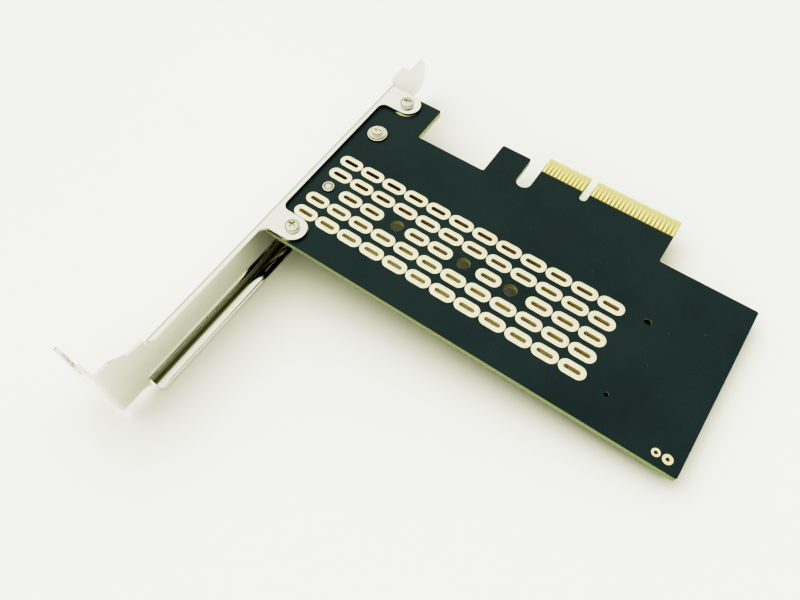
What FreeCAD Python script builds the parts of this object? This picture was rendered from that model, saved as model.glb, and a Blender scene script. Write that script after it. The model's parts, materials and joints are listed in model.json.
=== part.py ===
import FreeCAD, Part
import math
import os

# A PCI Express x4 adapter card that carries one M.2 key-M drive, with its full-height slot bracket.
#
# The card is modelled flat, in the board's own frame, in millimetres:
#   x  runs along the board, away from the bracket
#   y  runs along the bracket, towards the gold edge fingers
#   z  stands out of the solder side; z = 0 is the solder-side face of the laminate
# One placement at the end lays the finished card down as it rests on a table, component side down.

V = FreeCAD.Vector

# ---- the board -------------------------------------------------------------------------------
BOARD_T = 1.6                 # laminate thickness
BOARD_X0 = -5.45              # bracket end
BOARD_X1 = 96.0               # far end
BOARD_HALF = 27.2             # half the height of the board's bracket end
MAIN_EDGE_Y = 16.5            # the long edge on the finger side
FOOT_X1 = 8.6                 # the foot beside the bracket ends here
TAB_X0 = 27.6                 # the hook-shaped tab before the fingers
TAB_X1 = 35.44
TAB_Y = 26.27
TONGUE_X0 = 39.24             # the finger tongue
TONGUE_X1 = 73.26
TONGUE_Y = 29.65
RELIEF_Y = 17.3               # bottom of the round slot between the tab and the tongue
OUTLINE_R = 0.5               # routed corner radius
COPPER_T = 0.05               # how far copper and tin stand proud of the laminate

# ---- the edge fingers ------------------------------------------------------------------------
PIN_PITCH = 1.0
PIN1_X = 39.75
PINS = 32
PINS_BEFORE_KEY = 11
KEY_SKIP = 3.0                # pitch across the key
KEY_W = 1.9
KEY_BOTTOM_Y = 21.9
FINGER_W = 0.7
FINGER_Y0 = 24.55
BEVEL_LEN = 0.7               # lead-in bevel on the tongue
BEVEL_T = 0.35

# ---- the grid of plated cooling slots under the drive -----------------------------------------
SLOT_COLS = 12
SLOT_ROWS = 5
SLOT_PX = 6.317
SLOT_PY = 4.546
SLOT_LEN = 3.85
SLOT_W = 1.0
SLOT_END_FLATS = 6            # flats round each end of a slot, few because there are so many slots
MIDDLE_ROW = 2
MIDDLE_ROW_BLANKS = (0, 3, 6, 8)     # places taken by the drive's fixing holes

# ---- the M.2 drive's fixings -----------------------------------------------------------------
DRIVE_AXIS_Y = -MIDDLE_ROW * SLOT_PY
FIX_2280_X = -0.26
DRIVE_STEPS = (80.0, 60.0, 42.0, 30.0)
FIX_HOLE_D = 3.25
STANDOFF_FIT_D = 3.1
STANDOFF_D = 5.0
STANDOFF_H = 2.45             # height of the drive's seat above the component side
SCREW_M2_D = 2.0
HEAD_H = 0.9

# ---- the M.2 socket --------------------------------------------------------------------------
PEG_X = 77.6
PEG_SPACING = 20.0
PEG_D = (1.6, 1.1)
SOCKET_X0 = 76.2              # mouth of the socket
SOCKET_X1 = 84.6
SOCKET_W = 21.9
SOCKET_H = 4.2
M2_PITCH = 0.5
M2_COLUMNS = 37
KEY_M_SKIPS = range(29, 33)   # contact columns that the key takes the place of

# ---- the bracket -----------------------------------------------------------------------------
SHEET_T = 0.8
PLATE_XO = -7.3               # outer face of the plate
BRACKET_LEN = 120.02
TAB_END_Y = -77.0             # outer face of the screw tab
FLANGE_EDGE_X = -5.2
FLANGE_Y0 = -64.0
FLANGE_END_R = 1.8            # rounding of the flange's end beside the screw tab
FLANGE_Y1 = 27.05
LIP_Z = -15.7                 # underside of the folded lip
LIP_EDGE_X = -3.7
LIP_Y0 = -67.9
LIP_Y1 = 27.05
BEND_R = 0.6                  # inner radius of the flange's bend
LIP_BEND_R = 2.6              # the lip is curled, with hardly any flat
LIP_END_R = 1.2
SCOOP_R = 2.8                 # hollow corner of the plate, between the screw tab and the lip
TAB_BEND_R = 0.15             # the tab's bend is struck sharp
TAB_LEN = 12.4
TAB_TOP_Z = 4.9
TAB_LOW_Z = -13.1
NOTCH_W = 4.42
NOTCH_OUT = 6.35              # screw axis from the plate's outer face
NOTCH_DEEP = 3.4
TONGUE_TOP_Z = -1.5
TONGUE_W = 10.19
EAR_Y = 23.7
EAR_X = 0.7
EAR_R = 3.35
EAR_FILLET = 1.8
END_RELIEF = 0.5              # slit that frees each bend's end from the plate

# ---- the bracket's and the spare fasteners -----------------------------------------------------
EAR_SCREW_X = 0.45
EAR_SCREW_Y = 23.6
EAR_HEAD_D = 3.6
EAR_HEAD_H = 1.3
EAR_SCREW_D = 2.5
EAR_NUT_AF = 5.0
EAR_NUT_H = 2.0
SPARE_X = -0.35
SPARE_Y = 11.42
SPARE_FLANGE_D = 5.1
SPARE_HEAD_D = 3.0
LED_PADS = ((90.64, 1.85), (93.05, 2.2))     # x place and ring diameter of the spare lamp holes
LED_Y = -24.56
LED_HOLE_D = 0.8


# ---- small helpers ----------------------------------------------------------------------------
def disc(x, y, z, d, h):
    return Part.makeCylinder(d / 2.0, h, V(x, y, z))


def box(x0, x1, y0, y1, z0, z1):
    return Part.makeBox(x1 - x0, y1 - y0, z1 - z0, V(x0, y0, z0))


def oval(x, y, z, length, width, h):
    """A long hole's cutter, along x: each half-round end is laid out in short, equal flats."""
    r = width / 2.0
    c = length / 2.0 - r
    corners = []
    for end, start in ((1.0, -90.0), (-1.0, 90.0)):
        for k in range(SLOT_END_FLATS + 1):
            a = math.radians(start + 180.0 * k / SLOT_END_FLATS)
            corners.append((x + end * c + r * math.cos(a), y + r * math.sin(a), z))
    return prism(corners, V(0, 0, h))


def prism(points, direction):
    """A solid from a closed outline of corner points, pushed along a direction."""
    corners = [V(*p) for p in points]
    return Part.Face(Part.makePolygon(corners + corners[:1])).extrude(direction)


def round_edges(shape, radius, pick):
    edges = [e for e in shape.Edges if pick(e)]
    return shape.makeFillet(radius, edges)


def along_z(edge):
    """True for a straight edge that runs through the thickness of a flat blank."""
    a = edge.Vertexes[0].Point
    b = edge.Vertexes[-1].Point
    return abs(a.x - b.x) < 1e-6 and abs(a.y - b.y) < 1e-6 and abs(a.z - b.z) > 1e-6


def turned(profile, x, y):
    """A solid of revolution about a vertical axis, from (radius, z) corners that start and end on it."""
    corners = [V(x + r, y, z) for r, z in profile]
    face = Part.Face(Part.makePolygon(corners + corners[:1]))
    return face.revolve(V(x, y, 0), V(0, 0, 1), 360)


def hexagon(x, y, z, across_flats, h):
    r = across_flats / math.sqrt(3.0)
    corners = [(x + r * math.cos(math.radians(60 * k)), y + r * math.sin(math.radians(60 * k)), z)
               for k in range(6)]
    return prism(corners, V(0, 0, h))


def cross_recess(x, y, z_top, size, depth, turn=0.0):
    """The cross-shaped driver recess in a screw's head: two tapering blades at right angles."""
    wide, narrow = size / 2.0, size * 0.22
    thick, thin = size * 0.11, size * 0.08
    cut = None
    for angle in (turn, turn + 90.0):
        blade = Part.makeWedge(-narrow, -depth, -thin, -thick, -wide, narrow, 0.02, thin, thick, wide)
        blade.rotate(V(0, 0, 0), V(1, 0, 0), 90)
        blade.rotate(V(0, 0, 0), V(0, 0, 1), angle)
        cut = blade if cut is None else cut.fuse(blade)
    cut.translate(V(x, y, z_top))
    return cut


def group(solids):
    return Part.makeCompound(solids)


# ---- where things repeat -----------------------------------------------------------------------
def slot_places():
    """Centres of the plated slots: a full grid, less the places of the drive's fixing holes."""
    for row in range(SLOT_ROWS):
        for col in range(SLOT_COLS):
            if row == MIDDLE_ROW and col in MIDDLE_ROW_BLANKS:
                continue
            yield col * SLOT_PX, -row * SLOT_PY


def pin_places():
    """Centre lines of the edge fingers, with the wider step across the key."""
    for pin in range(PINS):
        skip = KEY_SKIP - PIN_PITCH if pin >= PINS_BEFORE_KEY else 0.0
        yield PIN1_X + pin * PIN_PITCH + skip


def key_x():
    return PIN1_X + (PINS_BEFORE_KEY - 1) * PIN_PITCH + KEY_SKIP / 2.0


def fixing_xs():
    """The fixing holes' places, from the longest drive to the shortest."""
    return [FIX_2280_X + DRIVE_STEPS[0] - length for length in DRIVE_STEPS]


def socket_pegs():
    for side, d in zip((1.0, -1.0), PEG_D):
        yield PEG_X, DRIVE_AXIS_Y + side * PEG_SPACING / 2.0, d


def contact_ys(shift):
    """Places of one row of the socket's contacts across its width, with the key's gap."""
    first = DRIVE_AXIS_Y - (M2_COLUMNS - 1) * M2_PITCH / 2.0 + shift
    return [first + k * M2_PITCH for k in range(M2_COLUMNS) if k not in KEY_M_SKIPS]


# ---- the board ---------------------------------------------------------------------------------
def board_blank():
    """The routed outline: foot, notch, hook tab, relief slot, finger tongue, main body."""
    relief_r = (TONGUE_X0 - TAB_X1) / 2.0
    relief_y = RELIEF_Y + relief_r
    outline = [
        (BOARD_X0, -BOARD_HALF), (BOARD_X1, -BOARD_HALF), (BOARD_X1, MAIN_EDGE_Y),
        (TONGUE_X1, MAIN_EDGE_Y), (TONGUE_X1, TONGUE_Y), (TONGUE_X0, TONGUE_Y),
        (TONGUE_X0, relief_y), (TAB_X1, relief_y), (TAB_X1, TAB_Y), (TAB_X0, TAB_Y),
        (TAB_X0, MAIN_EDGE_Y), (FOOT_X1, MAIN_EDGE_Y), (FOOT_X1, BOARD_HALF), (BOARD_X0, BOARD_HALF),
    ]
    blank = prism([(x, y, -BOARD_T) for x, y in outline], V(0, 0, BOARD_T))

    def rounded(edge):
        p = edge.Vertexes[0].Point
        near_relief = abs(p.y - relief_y) < 1e-6
        finger_tip = abs(p.y - TONGUE_Y) < 1e-6
        return along_z(edge) and not near_relief and not finger_tip

    blank = round_edges(blank, OUTLINE_R, rounded)
    relief = disc((TAB_X1 + TONGUE_X0) / 2.0, relief_y, -BOARD_T, 2.0 * relief_r, BOARD_T)
    return blank.cut(relief)


def key_slot():
    r = KEY_W / 2.0
    x = key_x()
    slot = box(x - r, x + r, KEY_BOTTOM_Y + r, TONGUE_Y + 1.0, -BOARD_T, 0)
    return slot.fuse(disc(x, KEY_BOTTOM_Y + r, -BOARD_T, KEY_W, BOARD_T))


def finger_bevels():
    """Two long wedges that thin the tongue's tip."""
    y0 = TONGUE_Y - BEVEL_LEN
    y1 = TONGUE_Y + 0.5
    rise = BEVEL_T * (y1 - y0) / BEVEL_LEN
    run = V(TONGUE_X1 - TONGUE_X0 + 2.0, 0, 0)
    x = TONGUE_X0 - 1.0
    upper = prism([(x, y0, 0), (x, y1, -rise), (x, y1, 1), (x, y0, 1)], run)
    lower = prism([(x, y0, -BOARD_T), (x, y1, -BOARD_T + rise), (x, y1, -BOARD_T - 1),
                   (x, y0, -BOARD_T - 1)], run)
    return upper.fuse(lower)


def copper_rings():
    """Bare plated copper on the solder side, under the ears and the spare nut, and at the lamp holes."""
    rings = [disc(x, LED_Y, 0, d, COPPER_T) for x, d in LED_PADS]
    for side in (1.0, -1.0):
        rings.append(disc(EAR_SCREW_X, side * EAR_SCREW_Y, 0, 2.0 * EAR_R + 0.4, COPPER_T))
    rings.append(disc(SPARE_X, SPARE_Y, 0, SPARE_FLANGE_D - 0.2, COPPER_T))
    return rings


def board_holes():
    """Every hole, drilled or routed right through."""
    z = -BOARD_T - 0.5
    deep = BOARD_T + COPPER_T + 1.0
    holes = [oval(x, y, z, SLOT_LEN, SLOT_W, deep) for x, y in slot_places()]
    holes += [disc(x, DRIVE_AXIS_Y, z, FIX_HOLE_D, deep) for x in fixing_xs()[1:]]
    holes.append(disc(fixing_xs()[0], DRIVE_AXIS_Y, z, STANDOFF_FIT_D, deep))
    holes += [disc(x, y, z, d, deep) for x, y, d in socket_pegs()]
    holes += [disc(x, LED_Y, z, LED_HOLE_D, deep) for x, d in LED_PADS]
    holes += [disc(EAR_SCREW_X, side * EAR_SCREW_Y, z, EAR_SCREW_D, deep) for side in (1.0, -1.0)]
    holes.append(disc(SPARE_X, SPARE_Y, z, STANDOFF_FIT_D, deep))
    return holes


def circuit_board():
    blank = board_blank().cut(key_slot()).cut(finger_bevels())
    blank = blank.fuse(copper_rings())
    return blank.cut(board_holes())


def edge_contacts(z0):
    """One row of gold fingers, each a thin bar on its own centre line."""
    y1 = TONGUE_Y - BEVEL_LEN - 0.05
    half = FINGER_W / 2.0
    return group([box(x - half, x + half, FINGER_Y0, y1, z0, z0 + COPPER_T) for x in pin_places()])


# ---- the bracket -------------------------------------------------------------------------------
def bend_strip(y0, y1, x, z, r, start):
    """A quarter-round bend of the sheet about an axis along y; start is the angle of its first side."""
    outer = r + SHEET_T

    def at(radius, angle):
        a = math.radians(angle)
        return V(x + radius * math.cos(a), y0, z + radius * math.sin(a))

    wire = Part.Wire([
        Part.makeLine(at(r, start), at(outer, start)),
        Part.Arc(at(outer, start), at(outer, start + 45), at(outer, start + 90)).toShape(),
        Part.makeLine(at(outer, start + 90), at(r, start + 90)),
        Part.Arc(at(r, start + 90), at(r, start + 45), at(r, start)).toShape(),
    ])
    return Part.Face(wire).extrude(V(0, y1 - y0, 0))


def plate_outline(flange_z, lip_z):
    """The flat plate's outline in (y, z), from the screw tab to the tip of the slot tongue."""
    tip_y = TAB_END_Y + BRACKET_LEN
    start_y = TAB_END_Y + SHEET_T + TAB_BEND_R
    tongue_low = TONGUE_TOP_Z - TONGUE_W
    relief = END_RELIEF
    outline = [
        (start_y, TAB_TOP_Z), (-72.7, TAB_TOP_Z), (-69.2, 2.1),
        (FLANGE_Y0 - relief, 1.35), (FLANGE_Y0 - relief, flange_z), (FLANGE_Y1 + SHEET_T, flange_z),
        (FLANGE_Y1 + SHEET_T, 2.2), (32.8, 2.2), (36.6, TONGUE_TOP_Z),
        (tip_y - 1.4, TONGUE_TOP_Z), (tip_y, TONGUE_TOP_Z - 1.5), (tip_y, tongue_low + 2.4),
        (tip_y - 1.9, tongue_low), (36.4, tongue_low), (33.2, -15.0),
        (LIP_Y1 + SHEET_T, -15.0), (LIP_Y1 + SHEET_T, lip_z), (LIP_Y0 - relief, lip_z),
    ]
    scoop_y = -71.0
    scoop_z = TAB_LOW_Z - SCOOP_R
    reach = LIP_Y0 - relief - scoop_y
    first = math.degrees(math.acos(reach / SCOOP_R))
    for k in range(5):
        a = math.radians(first + (90.0 - first) * k / 4.0)
        outline.append((scoop_y + SCOOP_R * math.cos(a), scoop_z + SCOOP_R * math.sin(a)))
    return outline + [(start_y, TAB_LOW_Z)]


def bracket_plate():
    flange_z = COPPER_T + SHEET_T - (BEND_R + SHEET_T)
    lip_z = LIP_Z + SHEET_T + LIP_BEND_R
    outline = plate_outline(flange_z, lip_z)
    plate = prism([(PLATE_XO, y, z) for y, z in outline], V(SHEET_T, 0, 0))

    def softened(edge):
        a, b = edge.Vertexes[0].Point, edge.Vertexes[-1].Point
        through = abs(a.y - b.y) < 1e-6 and abs(a.z - b.z) < 1e-6
        shoulder = -75.0 < a.y < -69.0 and a.z > 0.0
        tip = a.y > 30.0
        return through and (shoulder or tip)

    return round_edges(plate, 0.6, softened)


def bracket_flange():
    """The narrow flange along the board's edge with its bend, and the two ears that the screws hold."""
    z0 = COPPER_T
    x0 = PLATE_XO + SHEET_T + BEND_R
    strip = box(x0, FLANGE_EDGE_X, FLANGE_Y0, FLANGE_Y1, z0, z0 + SHEET_T)
    for side in (1.0, -1.0):
        y = side * EAR_Y
        arm = box(x0, EAR_X, y - EAR_R, y + EAR_R, z0, z0 + SHEET_T)
        strip = strip.fuse([arm, disc(EAR_X, y, z0, 2.0 * EAR_R, SHEET_T)])
    strip = strip.removeSplitter()

    def corner(edge):
        p = edge.Vertexes[0].Point
        inner = abs(p.x - FLANGE_EDGE_X) < 1e-6 and FLANGE_Y0 + 1.0 < p.y < FLANGE_Y1 - 1.0
        return along_z(edge) and inner

    strip = round_edges(strip, EAR_FILLET, corner)
    for side in (1.0, -1.0):
        strip = strip.cut(disc(EAR_SCREW_X, side * EAR_SCREW_Y, z0 - 1, EAR_SCREW_D + 0.3, SHEET_T + 2))
    bend = bend_strip(FLANGE_Y0, FLANGE_Y1, x0, z0 - BEND_R, BEND_R, 90)
    flange = strip.fuse(bend).removeSplitter()
    return flange.cut(corner_cut(FLANGE_EDGE_X, FLANGE_Y0, FLANGE_END_R, -1.0, z0 - BEND_R - 1.0))


def corner_cut(edge_x, end_y, r, side, z):
    """Everything outside a folded strip's rounded corner; side is the way along y in which it ends."""
    x = edge_x - r
    y = end_y - side * r
    y0, y1 = sorted((y, end_y + side))
    corner = box(x, edge_x + 1.0, y0, y1, z, z + 4.0)
    return corner.cut(disc(x, y, z, 2.0 * r, 4.0))


def bracket_lip():
    """The long edge curled inwards in a quarter round, with a narrow flat along its end."""
    x0 = PLATE_XO + SHEET_T + LIP_BEND_R
    flat = box(x0, LIP_EDGE_X, LIP_Y0, LIP_Y1, LIP_Z, LIP_Z + SHEET_T)
    lip = flat.fuse(bend_strip(LIP_Y0, LIP_Y1, x0, LIP_Z + SHEET_T + LIP_BEND_R, LIP_BEND_R, 180))
    lip = lip.cut(corner_cut(LIP_EDGE_X, LIP_Y0, LIP_END_R, -1.0, LIP_Z - 1.0))
    return lip.cut(corner_cut(LIP_EDGE_X, LIP_Y1, 0.4, 1.0, LIP_Z - 1.0))


def screw_tab():
    """The tab that the slot screw holds, folded outwards, with its open notch."""
    x0 = PLATE_XO + SHEET_T - TAB_LEN
    x1 = PLATE_XO - TAB_BEND_R
    tab = box(x0, x1, TAB_END_Y, TAB_END_Y + SHEET_T, TAB_LOW_Z, TAB_TOP_Z)

    def free_corner(edge):
        a, b = edge.Vertexes[0].Point, edge.Vertexes[-1].Point
        through = abs(a.x - b.x) < 1e-6 and abs(a.z - b.z) < 1e-6
        return through and abs(a.x - x0) < 1e-6

    tab = round_edges(tab, 1.5, free_corner)
    x = PLATE_XO - NOTCH_OUT
    z = TAB_TOP_Z - NOTCH_DEEP
    y = TAB_END_Y - 1.0
    deep = SHEET_T + 2.0
    round_part = Part.makeCylinder(NOTCH_W / 2.0, deep, V(x, y, z), V(0, 1, 0))
    open_part = box(x - NOTCH_W / 2.0, x + NOTCH_W / 2.0, y, y + deep, z, TAB_TOP_Z + 1.0)
    return tab.cut(round_part.fuse(open_part))


def tab_bend():
    """The bend between the plate and the screw tab, about a vertical axis on the outer side."""
    cx = PLATE_XO - TAB_BEND_R
    cy = TAB_END_Y + SHEET_T + TAB_BEND_R
    outer = TAB_BEND_R + SHEET_T

    def at(radius, angle):
        a = math.radians(angle)
        return V(cx + radius * math.cos(a), cy + radius * math.sin(a), TAB_LOW_Z)

    wire = Part.Wire([
        Part.makeLine(at(TAB_BEND_R, -90), at(outer, -90)),
        Part.Arc(at(outer, -90), at(outer, -45), at(outer, 0)).toShape(),
        Part.makeLine(at(outer, 0), at(TAB_BEND_R, 0)),
        Part.Arc(at(TAB_BEND_R, 0), at(TAB_BEND_R, -45), at(TAB_BEND_R, -90)).toShape(),
    ])
    return Part.Face(wire).extrude(V(0, 0, TAB_TOP_Z - TAB_LOW_Z))


def bracket():
    """One folded sheet: plate, flange with ears, lip, screw tab and slot tongue."""
    sheet = bracket_plate().fuse([bracket_flange(), bracket_lip(), screw_tab(), tab_bend()])
    return sheet.removeSplitter()


# ---- fasteners ---------------------------------------------------------------------------------
def dome_screw(x, y, z, head_d, head_h, shank_d, shank_len, turn):
    """A low dome head with a cross recess, on a plain shank."""
    r = head_d / 2.0
    s = shank_d / 2.0
    profile = [(0, z - shank_len), (s, z - shank_len), (s, z), (r, z), (r, z + 0.4 * head_h),
               (0.62 * r, z + head_h), (0, z + head_h)]
    body = turned(profile, x, y)
    return body.cut(cross_recess(x, y, z + head_h, 0.56 * head_d, 0.5 * head_h, turn))


def pan_screw(x, y, z, head_d, head_h, shank_d, shank_len, turn, up=1.0):
    """A flat pan head with a small edge bevel and a cross recess; up = -1 turns it over."""
    r = head_d / 2.0
    s = shank_d / 2.0
    b = 0.2
    profile = [(0, -shank_len), (s, -shank_len), (s, 0), (r, 0), (r, head_h - b), (r - b, head_h),
               (0, head_h)]
    body = turned(profile, 0, 0)
    body = body.cut(cross_recess(0, 0, head_h, 0.62 * head_d, 0.55 * head_h, turn))
    if up < 0:
        body.rotate(V(0, 0, 0), V(1, 0, 0), 180)
    body.translate(V(x, y, z))
    return body


def ear_screw(side, turn):
    top = COPPER_T + SHEET_T
    length = SHEET_T + COPPER_T + BOARD_T + EAR_NUT_H + 0.4
    return dome_screw(EAR_SCREW_X, side * EAR_SCREW_Y, top, EAR_HEAD_D, EAR_HEAD_H, EAR_SCREW_D - 0.1, length, turn)


def ear_nut(side):
    z = -BOARD_T - EAR_NUT_H
    nut = hexagon(EAR_SCREW_X, side * EAR_SCREW_Y, z, EAR_NUT_AF, EAR_NUT_H)
    return nut.cut(disc(EAR_SCREW_X, side * EAR_SCREW_Y, z - 1, EAR_SCREW_D - 0.1, EAR_NUT_H + 2))


def storage_nut():
    """The spare flanged nut, pushed through its parking hole from the solder side."""
    r = SPARE_FLANGE_D / 2.0
    fit = STANDOFF_FIT_D / 2.0
    bore = SCREW_M2_D / 2.0
    z = COPPER_T
    low = -BOARD_T - 1.2
    profile = [(bore, low), (fit, low), (fit, z), (r, z), (r, z + 0.35), (r - 0.45, z + 0.7), (bore, z + 0.7)]
    return turned(profile, SPARE_X, SPARE_Y)


def storage_screw():
    return pan_screw(SPARE_X, SPARE_Y, COPPER_T + 0.7, SPARE_HEAD_D, HEAD_H, SCREW_M2_D, 3.2, 12.0)


def standoff():
    """The drive's threaded standoff, riveted into the hole for the longest drive."""
    x, y = fixing_xs()[0], DRIVE_AXIS_Y
    seat = -BOARD_T - STANDOFF_H
    r = STANDOFF_D / 2.0
    fit = STANDOFF_FIT_D / 2.0
    bore = SCREW_M2_D / 2.0
    profile = [(bore, seat), (r, seat), (r, -BOARD_T), (fit, -BOARD_T),
               (fit, 0.35), (fit - 0.3, 0.6), (bore, 0.6)]
    return turned(profile, x, y)


def module_screw():
    seat = -BOARD_T - STANDOFF_H
    return pan_screw(fixing_xs()[0], DRIVE_AXIS_Y, seat, 3.6, 0.8, SCREW_M2_D, 4.55, 25.0, up=-1.0)


# ---- the M.2 socket ----------------------------------------------------------------------------
def socket_mouth(z_mid, gap):
    """The slit that the drive's edge slides into, with a lead-in."""
    half = SOCKET_W / 2.0 - 1.0
    y0, y1 = DRIVE_AXIS_Y - half, DRIVE_AXIS_Y + half
    slit = box(SOCKET_X0 - 1.0, SOCKET_X0 + 4.6, y0, y1, z_mid - gap / 2, z_mid + gap / 2)
    low, high = z_mid - gap / 2, z_mid + gap / 2
    x0, x1 = SOCKET_X0 - 0.01, SOCKET_X0 + 0.6
    lead = prism([(x0, y0, low - 0.35), (x0, y0, high + 0.35), (x1, y0, high), (x1, y0, low)],
                 V(0, y1 - y0, 0))
    return slit.fuse(lead)


def drive_mid_z():
    """Height of the drive board's middle plane: its underside sits on the standoff."""
    return -BOARD_T - STANDOFF_H - 0.4


def key_y():
    skips = list(KEY_M_SKIPS)
    middle = (skips[0] + skips[-1]) / 2.0
    return DRIVE_AXIS_Y - (M2_COLUMNS - 1) * M2_PITCH / 2.0 + middle * M2_PITCH


def socket_housing():
    """The moulded body: a bar with a mouth, contact slots behind it, a key bar and two pegs."""
    z1 = -BOARD_T
    z0 = z1 - SOCKET_H
    half = SOCKET_W / 2.0
    y = DRIVE_AXIS_Y
    body = box(SOCKET_X0, SOCKET_X1, y - half, y + half, z0, z1 - 0.15)
    body = round_edges(body, 0.4, along_z)
    step = box(SOCKET_X1 - 1.6, SOCKET_X1 + 1.0, y - half + 1.2, y + half - 1.2, z1 - 1.3, z1 + 1.0)
    front = box(SOCKET_X0 - 1.0, SOCKET_X0 + 1.0, y - half + 1.2, y + half - 1.2, z1 - 0.9, z1 + 1.0)
    body = body.cut([step, front, socket_mouth(drive_mid_z(), 1.0)])
    key = box(SOCKET_X0 + 0.9, SOCKET_X0 + 4.6, key_y() - 0.6, key_y() + 0.6,
              drive_mid_z() - 0.7, drive_mid_z() + 0.7)
    feet = [box(SOCKET_X0 + 1.6, SOCKET_X1 - 1.9, y + side * (half - 0.7) - 0.6,
                y + side * (half - 0.7) + 0.6, z1 - 0.2, z1) for side in (1.0, -1.0)]
    pegs = [disc(px, py, z1 - 0.5, d - 0.1, 0.5 + 1.0) for px, py, d in socket_pegs()]
    return body.fuse([key] + feet + pegs).removeSplitter()


def contact_row(shift, front):
    """One row of the socket's contacts: flat solder tails that run in under the housing."""
    w = 0.22
    z1 = -BOARD_T
    x0, x1 = (SOCKET_X0 - 0.7, SOCKET_X0 + 0.95) if front else (SOCKET_X1 - 1.55, SOCKET_X1 + 0.7)
    return group([box(x0, x1, y - w / 2, y + w / 2, z1 - 0.14, z1) for y in contact_ys(shift)])


def socket_hold_downs():
    """Two folded solder tabs, one at each end of the socket."""
    z1 = -BOARD_T
    half = SOCKET_W / 2.0
    tabs = []
    for side in (1.0, -1.0):
        y = DRIVE_AXIS_Y + side * half
        y0, y1 = sorted((y, y + side * 0.25))
        f0, f1 = sorted((y, y + side * 1.3))
        upright = box(SOCKET_X0 + 3.0, SOCKET_X0 + 5.4, y0, y1, z1 - 1.8, z1)
        foot = box(SOCKET_X0 + 3.0, SOCKET_X0 + 5.4, f0, f1, z1 - 0.25, z1)
        tabs.append(upright.fuse(foot).removeSplitter())
    return group(tabs)


# ---- the small parts on the component side --------------------------------------------------------
def chip(x, y, length, width, height, along_x=True):
    """A soldered chip part: a bar with its two long free edges bevelled."""
    a, b = (length, width) if along_x else (width, length)
    z1 = -BOARD_T
    body = box(x - a / 2, x + a / 2, y - b / 2, y + b / 2, z1 - height, z1)
    low = z1 - height

    def long_free(edge):
        ends = [v.Point for v in edge.Vertexes]
        along = abs(ends[0].x - ends[1].x) > a / 2 if along_x else abs(ends[0].y - ends[1].y) > b / 2
        return along and all(abs(p.z - low) < 1e-6 for p in ends)

    return body.makeChamfer(0.08, [e for e in body.Edges if long_free(e)])


def bulk_capacitors():
    """Two rows of larger ceramic capacitors beside the fingers' power pins."""
    return group([chip(44.0 + 3.4 * k, 12.6, 3.2, 1.6, 1.5, along_x=False) for k in range(3)])


def decoupling_capacitors():
    """Small ceramic capacitors in a line behind the socket and under the fingers."""
    behind = [chip(88.2, DRIVE_AXIS_Y - 7.5 + 3.0 * k, 1.6, 0.8, 0.8) for k in range(6)]
    near = [chip(57.0 + 2.6 * k, 13.4, 1.6, 0.8, 0.8, along_x=False) for k in range(4)]
    return group(behind + near)


def resistors():
    pulls = [chip(88.2, DRIVE_AXIS_Y + 11.5 + 2.2 * k, 1.6, 0.8, 0.45) for k in range(2)]
    lamp = [chip(86.4, LED_Y, 1.6, 0.8, 0.45)]
    return group(pulls + lamp)


def status_lamp():
    return chip(92.6, -19.4, 2.0, 1.25, 0.8, along_x=False)


# ---- the resting pose ------------------------------------------------------------------------------
def rest_tilt():
    """Angle about y that brings the lip's edge and the socket's far edge to one level."""
    drop = (-BOARD_T - SOCKET_H) - LIP_Z
    return math.degrees(math.atan2(drop, SOCKET_X1 - LIP_EDGE_X))


def lay_down(nodes):
    """Tilt every piece about y, then bring the origin to the middle of the footprint, at the table."""
    for shape in nodes.values():
        shape.rotate(V(0, 0, 0), V(0, 1, 0), rest_tilt())
    whole = Part.makeCompound(list(nodes.values())).optimalBoundingBox(False, False)
    shift = V(-whole.Center.x, -whole.Center.y, -whole.ZMin)
    for shape in nodes.values():
        shape.translate(shift)
    return shift


def build():
    return {
        "circuit_board": circuit_board(),
        "edge_contacts_solder_side": edge_contacts(0.0),
        "edge_contacts_component_side": edge_contacts(-BOARD_T - COPPER_T),
        "bracket": bracket(),
        "ear_screw_upper": ear_screw(1.0, 35.0),
        "ear_screw_lower": ear_screw(-1.0, 10.0),
        "ear_nut_upper": ear_nut(1.0),
        "ear_nut_lower": ear_nut(-1.0),
        "storage_nut": storage_nut(),
        "storage_screw": storage_screw(),
        "standoff": standoff(),
        "module_screw": module_screw(),
        "socket_housing": socket_housing(),
        "socket_contacts_front": contact_row(0.0, True),
        "socket_contacts_rear": contact_row(M2_PITCH / 2.0, False),
        "socket_hold_downs": socket_hold_downs(),
        "bulk_capacitors": bulk_capacitors(),
        "decoupling_capacitors": decoupling_capacitors(),
        "resistors": resistors(),
        "status_lamp": status_lamp(),
    }


os.makedirs("parts", exist_ok=True)
card = build()
offset = lay_down(card)
print("tilt %.3f degrees, shift %.4f %.4f %.4f mm" % (rest_tilt(), offset.x, offset.y, offset.z))
for node, shape in card.items():
    shape.exportStep("parts/%s.step" % node)
    print("%-30s %3d solids  %10.2f mm3  valid %s" % (node, len(shape.Solids), shape.Volume, shape.isValid()))
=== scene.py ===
# %% [markdown]
# # An adapter card for one M.2 drive
# The card's real shapes come from a CAD model: the pierced circuit board, the folded slot bracket, the
# socket and every fastener. This lesson dresses that frame. Each step says what a piece is on the real
# card, how it could be made in Blender, and why one way was chosen.
#
# The first cell loads the CAD frame. Nothing in it is ever moved: new pieces are built round it.

# %% Load the frame
import json
import math

import bmesh
import bpy
from mathutils import Matrix, Vector


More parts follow.
